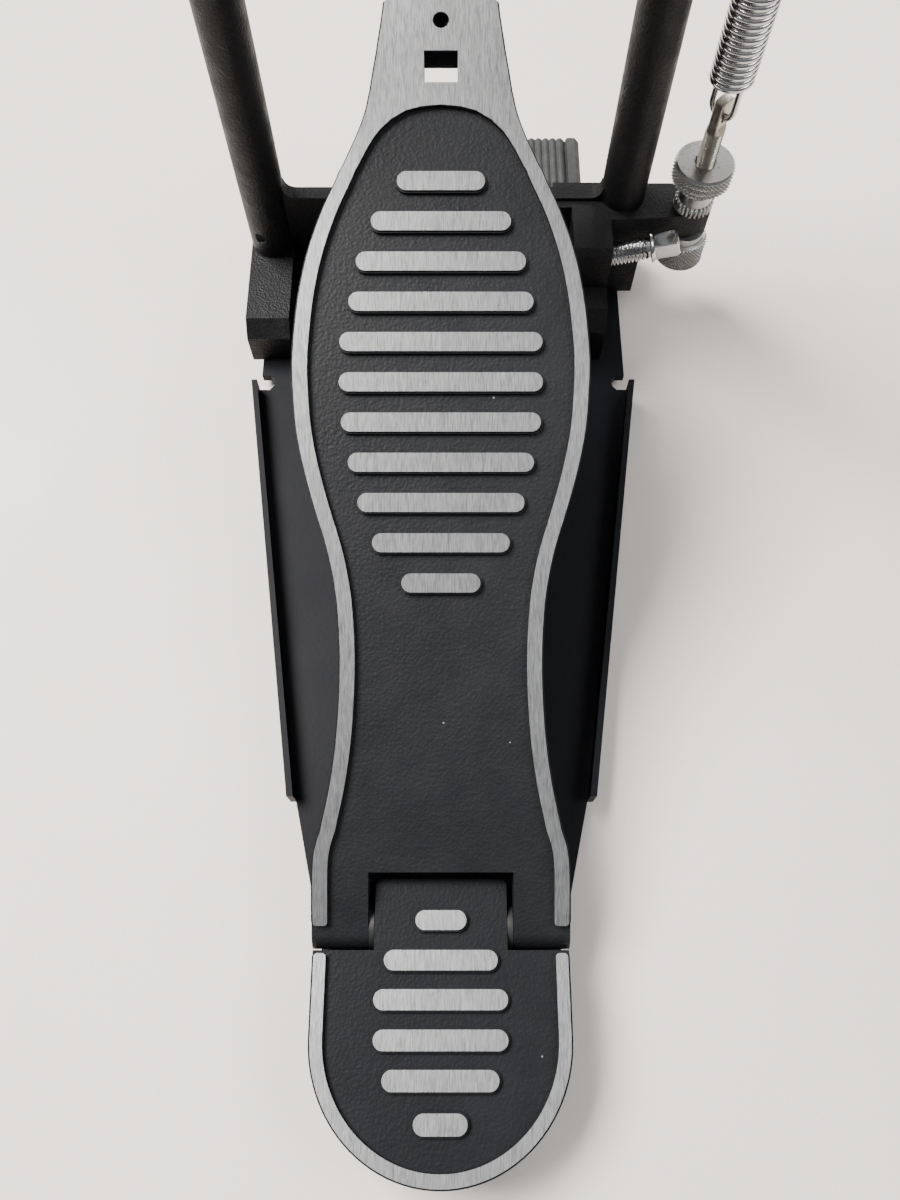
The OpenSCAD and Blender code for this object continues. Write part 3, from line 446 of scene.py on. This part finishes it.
def finish_node(name, obj, slot):
    """Gives a CAD node its material, welds its seams and rounds its edges."""
    mesh = obj.data
    mesh.materials.clear()
    mesh.materials.append(OWN_FINISH.get(name, MATERIALS[slot]))
    for attribute in [a.name for a in mesh.attributes if a.name == "custom_normal"]:
        mesh.attributes.remove(mesh.attributes[attribute])
    for polygon in mesh.polygons:
        polygon.use_smooth = True
    weld = obj.modifiers.new("weld", "WELD")
    weld.merge_threshold = WELD_WITHIN
    bevel = obj.modifiers.new("bevel", "BEVEL")
    bevel.width = BEVELS.get(name, SMALL_BEVEL) * MM
    bevel.segments = 2
    bevel.limit_method = "ANGLE"
    bevel.angle_limit = SHARP
    bevel.use_clamp_overlap = True
    bevel.harden_normals = name not in EVEN_SHADING
    if name in EVEN_SHADING:
        obj.modifiers.new("even_shading", "WEIGHTED_NORMAL").weight = 80


for part in RECORD["subparts"]:
    finish_node(part["node"], NODES[part["node"]], part["material_slot"])


# ---------------------------------------------------------------- return spring
WIRE = 1.9 * MM
HOOK = 4.0 * MM                # hook radius, to the wire's middle
HOOK_DROP = 4.5 * MM           # how far the lower hook hangs below the CAD model's
LOWER_HOOK_TURN = math.radians(-45)
PER_TURN = 28                  # points along each coil
SLACK = 1.02                   # coil spacing at rest, in wires


def bezier(a, ta, tb, b, count):
    """Points of a cubic from a to b that leaves along ta and arrives along tb."""
    points = []
    for i in range(count):
        t = i / count
        u = 1 - t
        points.append(u ** 3 * a + 3 * u ** 2 * t * (a + ta) + 3 * u * t * t * (b - tb) + t ** 3 * b)
    return points


def hook_points(mean, rise):
    """A hook that hangs below the origin in the XZ plane: two straight legs and a round end, rise
    below the origin, that leads to the first coil at azimuth 180."""
    top = -0.9 * WIRE
    legs = [top + (-rise - top) * k / 6 for k in range(6)]
    points = [Vector((-HOOK, 0, z)) for z in legs]
    for step in range(25):
        angle = math.pi * (1 + step / 24)
        points.append(Vector((HOOK * math.cos(angle), 0, HOOK * math.sin(angle) - rise)))
    points += [Vector((HOOK, 0, z)) for z in reversed(legs[1:])]
    leave = Vector((0, 0, 1)) * 3.2 * MM
    arrive = Vector((0, -1, 0.05)) * 3.6 * MM
    return points + bezier(Vector((HOOK, 0, top)), leave, arrive, Vector((-mean, 0, 0)), 14)


def return_spring():
    """One coil with both its hooks, in place of the CAD model's two nodes."""
    low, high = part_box("return_spring")
    hook_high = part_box("spring_hook")[1]
    centre = (low + high) / 2
    mean = (high.x - low.x) / 2 - WIRE / 2
    ring_low = low.z + WIRE / 2 + HOOK - HOOK_DROP
    ring_high = hook_high.z - WIRE / 2 - HOOK
    coil_low = low.z + 2 * HOOK + WIRE
    coil_high = high.z - WIRE / 2
    turns = int((coil_high - coil_low) / (WIRE * SLACK)) + 0.25 - LOWER_HOOK_TURN / (2 * math.pi)
    swing = Matrix.Rotation(LOWER_HOOK_TURN, 3, "Z")
    bottom = hook_points(mean, coil_low - ring_low)
    points = [swing @ p + Vector((0, 0, coil_low)) for p in bottom]
    count = int(turns * PER_TURN)
    for i in range(count + 1):
        share = i / count
        angle = math.pi + LOWER_HOOK_TURN + 2 * math.pi * turns * share
        z = coil_low + (coil_high - coil_low) * share
        points.append(Vector((mean * math.cos(angle), mean * math.sin(angle), z)))
    turn_over = Matrix.Rotation(math.pi / 2, 3, "Z") @ Matrix.Rotation(math.pi, 3, "X")
    top = hook_points(mean, ring_high - coil_high)
    top = [turn_over @ p + Vector((0, 0, coil_high)) for p in top]
    points += list(reversed(top))[1:]
    verts, faces = sweep(points, WIRE / 2, 10)
    verts = [v + Vector((centre.x, centre.y, 0)) for v in verts]
    spring = new_piece("coil_return_spring", verts, faces, "chrome", None)
    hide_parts("return_spring", "spring_hook")
    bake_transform(spring, "spring_swing", "spring_stretch", (centre.x, centre.y, ring_low),
             (centre.x, centre.y, coil_high + 4 * MM))


return_spring()


def clamp_spring():
    """The small spring that opens the clamp, with its end coils drawn together."""
    low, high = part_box("clamp_spring")
    centre = (low + high) / 2
    wire = 0.9 * MM
    mean = (high.x - low.x) / 2 - wire / 2
    turns = 5.5
    count = int(turns * PER_TURN)
    points = []
    for i in range(count + 1):
        share = i / count
        angle = 2 * math.pi * turns * share
        eased = share - 0.09 * math.sin(2 * math.pi * share)
        z = low.z + wire / 2 + (high.z - low.z - wire) * eased
        points.append(Vector((mean * math.cos(angle), mean * math.sin(angle), z)))
    verts, faces = sweep(points, wire / 2, 8)
    verts = [v + Vector((centre.x, centre.y, 0)) for v in verts]
    piece = new_piece("clamp_return_coil", verts, faces, "zinc", "base")
    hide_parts("clamp_spring")
    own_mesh(piece)


clamp_spring()


# ---------------------------------------------------------------- spring adjuster
NUT_SEGMENTS = 8 * KNURL_TEETH


def knurled_nut(node, body, bands, bore):
    """A nut turned from bands of (z share 0 to 1, radius in mm, kind), with its bore and a
    chamfer at each end of it."""
    low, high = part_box(node)
    centre = (low + high) / 2
    rings = []
    for (z0, r0, kind), (z1, r1, _) in zip(bands, bands[1:]):
        step = 0.16 * MM if kind in ("knurl", "serration") else 2 * MM
        a = low.z + (high.z - low.z) * z0
        b = low.z + (high.z - low.z) * z1
        rings += rings_between(a, b, r0 * MM, r1 * MM, kind, step)
    verts, faces = turned(rings, NUT_SEGMENTS)
    faces = faces[:-2]
    chamfer = 0.5 * MM
    bottom, top = rings[0][0], rings[-1][0]
    inner = [(top, bore + chamfer, ""), (top - chamfer, bore, ""), (bottom + chamfer, bore, ""),
             (bottom, bore + chamfer, "")]
    start = len(verts)
    more, _ = turned(inner, NUT_SEGMENTS)
    verts += more
    faces += grid_faces(len(inner), NUT_SEGMENTS, start)
    last = (len(rings) - 1) * NUT_SEGMENTS
    end = start + (len(inner) - 1) * NUT_SEGMENTS
    for c in range(NUT_SEGMENTS):
        d = (c + 1) % NUT_SEGMENTS
        faces.append((last + c, last + d, start + d, start + c))
        faces.append((end + c, end + d, d, c))
    verts = [v + Vector((centre.x, centre.y, 0)) for v in verts]
    piece = new_piece("turned_" + node, verts, faces, "chrome", body)
    piece.data.materials[0] = KNURLED_ZINC
    crease(piece)
    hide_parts(node)


def crease(piece, angle=35):
    """Keeps the edges sharper than angle crisp under smooth shading."""
    mesh = piece.data
    limit = math.cos(math.radians(angle))
    owners = {}
    for polygon in mesh.polygons:
        for key in polygon.edge_keys:
            owners.setdefault(key, []).append(polygon.normal.copy())
    flags = []
    for edge in mesh.edges:
        normals = owners.get(tuple(sorted(edge.vertices)), [])
        flags.append(len(normals) == 2 and normals[0].dot(normals[1]) < limit)
    sharp = mesh.attributes.get("sharp_edge") or mesh.attributes.new("sharp_edge", "BOOLEAN", "EDGE")
    sharp.data.foreach_set("value", flags)


ROD_R = 3.0 * MM
NUT_BORE = ROD_R + 0.1 * MM
UPPER_NUT = [(0, 5.7, ""), (0.02, 6.5, "serration"), (0.185, 6.6, "serration"), (0.215, 5.7, ""),
             (0.40, 5.6, "knurl"), (0.60, 8.6, "knurl"), (0.66, 9.9, "knurl"),
             (0.955, 9.95, "knurl"), (0.965, 9.6, ""), (1.0, 9.1, "")]
LOWER_NUT = [(0, 7.6, ""), (0.03, 8.5, "knurl"), (0.70, 8.5, "knurl"), (0.745, 7.7, ""),
             (0.78, 6.6, ""), (1.0, 6.5, "")]
knurled_nut("upper_spring_nut", "upper_nut", UPPER_NUT, NUT_BORE)
knurled_nut("lower_spring_nut", "lower_nut", LOWER_NUT, NUT_BORE)


def adjuster_rod():
    """Threaded rod whose top is pressed flat and drilled for the spring's hook."""
    low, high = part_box("spring_rod")
    centre = (low + high) / 2
    top = high.z - 1.5 * MM
    hole_z = high.z - 3 * MM - HOOK_DROP
    flat_start = hole_z - 3.2 * MM
    run_out = 2 * MM               # from the thread's end to the flat
    half_flat = 1.66 * MM
    crown = 0.5 * MM               # rounding of the flat's top
    rings = [(low.z, 2.2 * MM, "")]
    rings += rings_between(low.z + 0.6 * MM, flat_start - run_out, ROD_R, ROD_R, "fine",
                           0.125 * MM)
    segments = 40
    steps = 30
    for i in range(steps + 1):
        rings.append((flat_start - run_out + (top - flat_start + run_out) * i / steps, ROD_R, ""))
    verts, faces = turned(rings, segments)
    for v in verts:
        if v.z >= flat_start - run_out:
            share = min(1.0, (v.z - flat_start + run_out) / (2.5 * MM))
            limit = ROD_R - share * (ROD_R - half_flat)
            v.x = max(-limit, min(limit, v.x))
            v.z -= crown * (v.y / ROD_R) ** 2 * max(0.0, (v.z - hole_z) / (top - hole_z))
    swing = Matrix.Rotation(LOWER_HOOK_TURN, 3, "Z")
    verts = [swing @ v + Vector((centre.x, centre.y, 0)) for v in verts]
    piece = new_piece("threaded_adjuster_rod", verts, faces, "adjuster_zinc", "base")
    hole_r = 1.5 * MM
    cutter_verts, cutter_faces = turned([(-2 * ROD_R, hole_r, ""), (2 * ROD_R, hole_r, "")], 32)
    turn = Matrix.Translation((centre.x, centre.y, hole_z)) @ swing.to_4x4()
    turn = turn @ Matrix.Rotation(math.pi / 2, 4, "Y")
    cut_out(piece, place(cutter_verts, turn), cutter_faces)
    crease(piece, 38)
    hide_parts("spring_rod")


def cut_out(piece, verts, faces):
    """Cuts a closed shape out of a piece and keeps the result as its mesh."""
    mesh = bpy.data.meshes.new("cutter")
    mesh.from_pydata([tuple(v) for v in verts], [], faces)
    cutter = bpy.data.objects.new("cutter", mesh)
    bpy.context.scene.collection.objects.link(cutter)
    modifier = piece.modifiers.new("cut", "BOOLEAN")
    modifier.object = cutter
    modifier.operation = "DIFFERENCE"
    modifier.solver = "EXACT"
    bpy.context.view_layer.update()
    shaped = bpy.data.meshes.new_from_object(piece.evaluated_get(bpy.context.evaluated_depsgraph_get()))
    piece.modifiers.remove(modifier)
    piece.data = shaped
    bpy.data.objects.remove(cutter)


adjuster_rod()


# ---------------------------------------------------------------- clamp bolt
def clamp_bolt():
    """M8 bolt with a coned point, a domed flange and a square key head."""
    low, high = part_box("clamp_bolt")
    feed = Vector(JOINTS["clamp_bolt_feed"]["axis"])
    out = -feed.normalized()
    lean = math.atan2(out.z, out.x)
    half = 3.2 * MM                # of the square head
    corner = 0.55 * MM
    point = 1.0 * MM               # radius of the cone's end
    across = Vector((math.sin(lean), 0, math.cos(lean)))
    middle = (low.y + high.y) / 2
    tip = Vector((low.x, middle, low.z)) + point * across
    end = Vector((high.x, middle, high.z)) - half * across
    length = (end - tip).length
    head = 8.2 * MM
    flange = length - head - 1.5 * MM
    rings = [(0, point, ""), (2.6 * MM, 3.5 * MM, "")]
    rings += rings_between(3.0 * MM, flange - 1.2 * MM, 3.95 * MM, 3.95 * MM, "coarse", 0.14 * MM)
    collar = [(-0.6, 3.3), (0, 3.3), (0, 4.7), (0.35, 5.1), (0.8, 5.05), (1.5, 4.4), (2.1, 3.3)]
    rings += [(flange + z * MM, radius * MM, "") for z, radius in collar]
    verts, faces = turned(rings, 48)
    start = len(verts)
    profile = []
    for sx, sy, first in ((1, 1, 0), (-1, 1, 90), (-1, -1, 180), (1, -1, 270)):
        for k in range(4):
            angle = math.radians(first + 30 * k)
            profile.append((sx * (half - corner) + corner * math.cos(angle),
                            sy * (half - corner) + corner * math.sin(angle)))
    levels = [(flange + 1.0 * MM, 1.0), (length - 0.9 * MM, 1.0), (length - 0.3 * MM, 0.93),
              (length, 0.78)]
    for z, scale in levels:
        verts += [Vector((x * scale, y * scale, z)) for x, y in profile]
    count = len(profile)
    faces += grid_faces(len(levels), count, start)
    faces.append(tuple(reversed(range(start, start + count))))
    last = start + (len(levels) - 1) * count
    faces.append(tuple(range(last, last + count)))
    turn = out.to_track_quat("Z", "Y").to_matrix().to_4x4()
    matrix = Matrix.Translation(tip) @ turn
    piece = new_piece("square_head_clamp_bolt", place(verts, matrix), faces, "chrome", "clamp_screw")
    crease(piece, 40)
    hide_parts("clamp_bolt")


clamp_bolt()


# ---------------------------------------------------------------- beater head
BEATER_LEAN = math.radians(45)


def beater_head():
    """Pressed felt head: a rounded drum that is slightly matted and uneven."""
    low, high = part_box("beater_felt")
    strike = (Matrix.Rotation(BEATER_LEAN, 3, "X") @ Vector((0, 1, 0))).normalized()
    corners = [v.co for v in NODES["beater_felt"].data.vertices]
    along = [c.dot(strike) for c in corners]
    across = Vector((0, -strike.z, strike.y))
    offset = [c.dot(across) for c in corners]
    back, front = min(along), max(along)
    mid = (min(offset) + max(offset)) / 2
    radius = 0.985 * (high.x - low.x) / 2      # leaves room for the fluff
    profile = [(0.0, 0.30), (0.0, 0.72), (0.035, 0.86), (0.12, 0.955), (0.26, 0.99), (0.5, 1.0),
               (0.66, 0.985), (0.8, 0.93), (0.9, 0.83), (0.96, 0.68), (0.99, 0.4), (1.0, 0.16)]
    parts = 6
    fine = []
    for (z0, r0), (z1, r1) in zip(profile, profile[1:]):
        for k in range(parts):
            fine.append((z0 + (z1 - z0) * k / parts, r0 + (r1 - r0) * k / parts))
    fine.append(profile[-1])
    rings = [(back + (front - back) * z, radius * r, "") for z, r in fine]
    verts, faces = turned(rings, 128)
    for v in verts:
        fluff = noise.fractal(v * 900, 0.6, 2.0, 3)
        shape = noise.noise(v * 160)
        out = Vector((v.x, v.y, 0)).normalized()
        v += out * (0.00012 * fluff + 0.00035 * shape)
    basis = Matrix((Vector((1, 0, 0)), across, strike)).transposed().to_4x4()
    if basis.to_3x3().determinant() < 0:
        basis = Matrix((Vector((-1, 0, 0)), across, strike)).transposed().to_4x4()
    verts = [basis @ v + across * mid for v in verts]
    piece = new_piece("felt_beater_head", verts, faces, "felt", "axle_set")
    smooth = piece.modifiers.new("smooth", "SUBSURF")
    smooth.levels = 1
    smooth.render_levels = 1
    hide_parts("beater_felt")


beater_head()


# ---------------------------------------------------------------- stage and light
def stage():
    """The pale floor, a hair below the pedal's feet so that the two don't flicker."""
    bpy.ops.mesh.primitive_plane_add(size=6, location=(0, 0, -0.0002))
    floor = bpy.context.object
    floor.name = "pale_floor"
    floor.data.materials.append(floor_surface())


def area_light(name, location, target, size, watts, color):
    data = bpy.data.lights.new(name, "AREA")
    data.shape = "RECTANGLE"
    data.size, data.size_y = size
    data.energy = watts
    data.color = color
    lamp = bpy.data.objects.new(name, data)
    lamp.location = location
    lamp.rotation_euler = (Vector(target) - Vector(location)).to_track_quat("-Z", "Y").to_euler()
    bpy.context.scene.collection.objects.link(lamp)


def studio_world():
    """Soft surroundings that brighten from below the horizon to overhead."""
    world = bpy.data.worlds.new("studio")
    bpy.context.scene.world = world
    world.use_nodes = True
    sky = world.node_tree
    direction = sky.nodes.new("ShaderNodeTexCoord")
    split = sky.nodes.new("ShaderNodeSeparateXYZ")
    height = sky.nodes.new("ShaderNodeMapRange")
    limits = {"From Min": -0.1, "From Max": 0.9, "To Min": 0.06, "To Max": 0.34}
    for name, value in limits.items():
        height.inputs[name].default_value = value
    sky.links.new(direction.outputs["Generated"], split.inputs["Vector"])
    sky.links.new(split.outputs["Z"], height.inputs["Value"])
    sky.links.new(height.outputs["Result"], sky.nodes["Background"].inputs["Strength"])
    sky.nodes["Background"].inputs["Color"].default_value = (0.95, 0.97, 1, 1)


PEDAL_MIDDLE = (0, -0.05, 0.1)
stage()
area_light("window_panel", (-1.05, 0.40, 1.60), PEDAL_MIDDLE, (1.2, 0.9), 118, (1, 0.975, 0.945))
area_light("right_fill", (1.3, -0.2, 1.5), PEDAL_MIDDLE, (0.8, 0.8), 16, (0.98, 0.985, 1))
area_light("back_strip", (0.8, 1.5, 0.9), (0, 0, 0.1), (1.2, 0.3), 12, (1, 0.975, 0.94))
studio_world()

bpy.context.view_layer.update()
